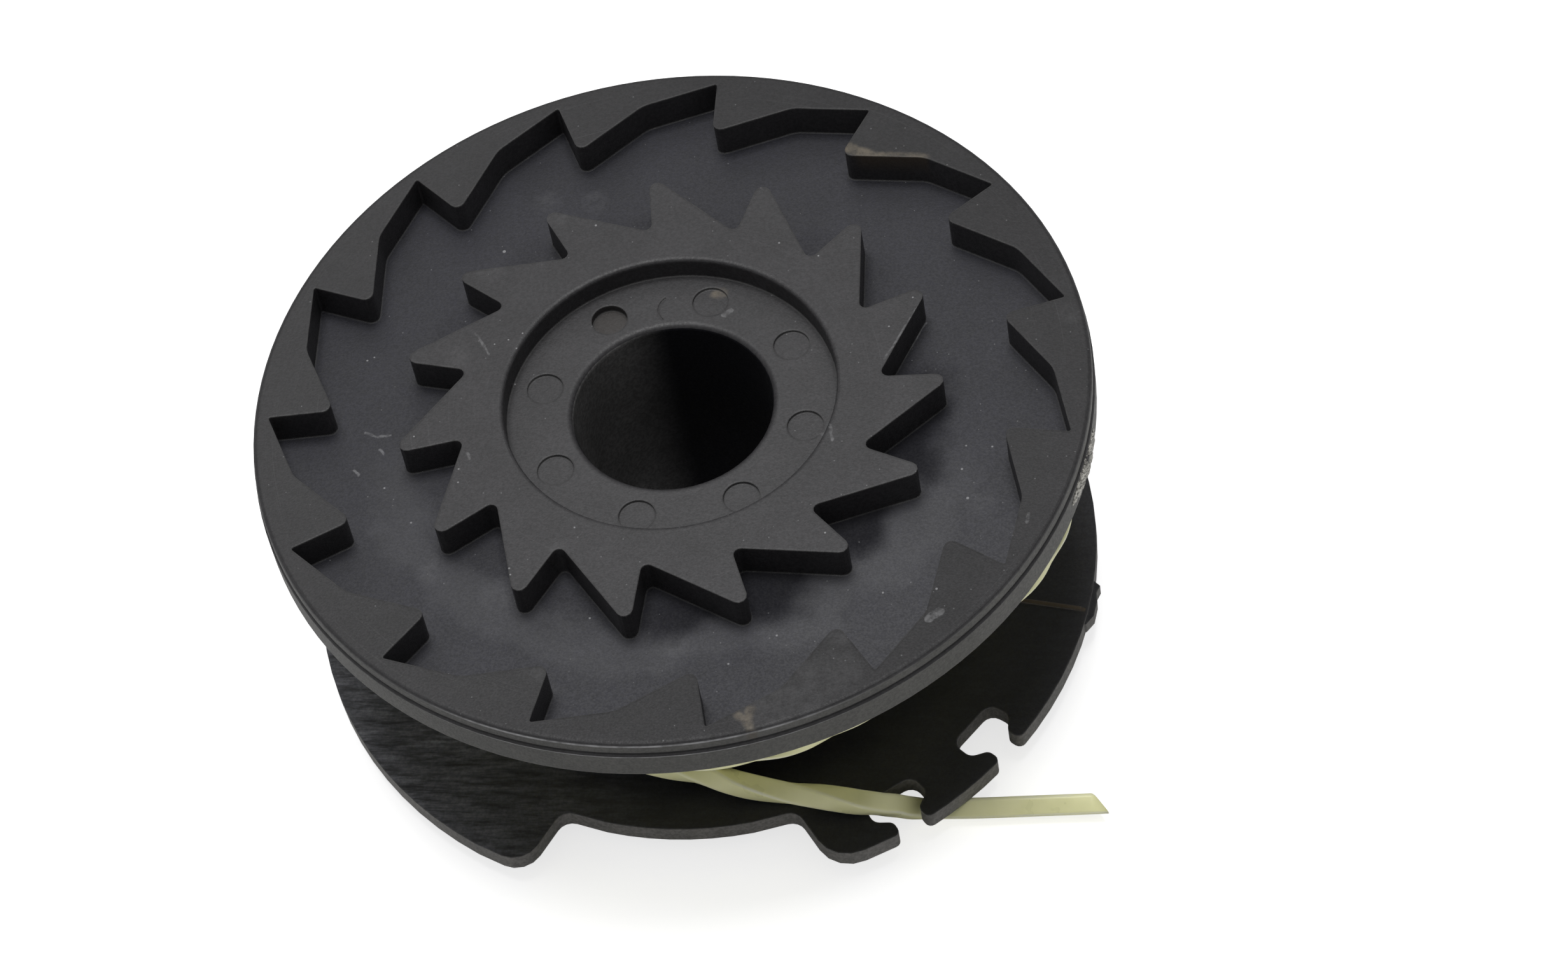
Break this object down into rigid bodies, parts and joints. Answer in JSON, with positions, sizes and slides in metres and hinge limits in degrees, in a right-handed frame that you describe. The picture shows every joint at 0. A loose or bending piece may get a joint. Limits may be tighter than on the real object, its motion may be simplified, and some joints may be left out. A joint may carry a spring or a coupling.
{
  "type": "trimmer line spool",
  "caption": "Flanged spool with a double ratchet face, hooked lower flange and through bore, wound with twisted cutting line whose free end is clipped in a rim notch.",
  "frame": {"origin": "on the bore's axis, at the lowest face of the hub", "axes": "+Z along the bore, from the hub's foot to the ratchet face; the free end of the line leaves towards +X and -Y"},
  "size_m": [0.062, 0.062, 0.0243],
  "materials": {
    "moulded_spool": "matt charcoal moulded nylon",
    "twisted_line": "translucent pale yellow-green extruded nylon"
  },
  "bodies": {
    "root": {"spool_body": "moulded_spool", "line_winding": "twisted_line", "line_free_end": "twisted_line", "line_tail": "twisted_line"}
  },
  "joints": []
}
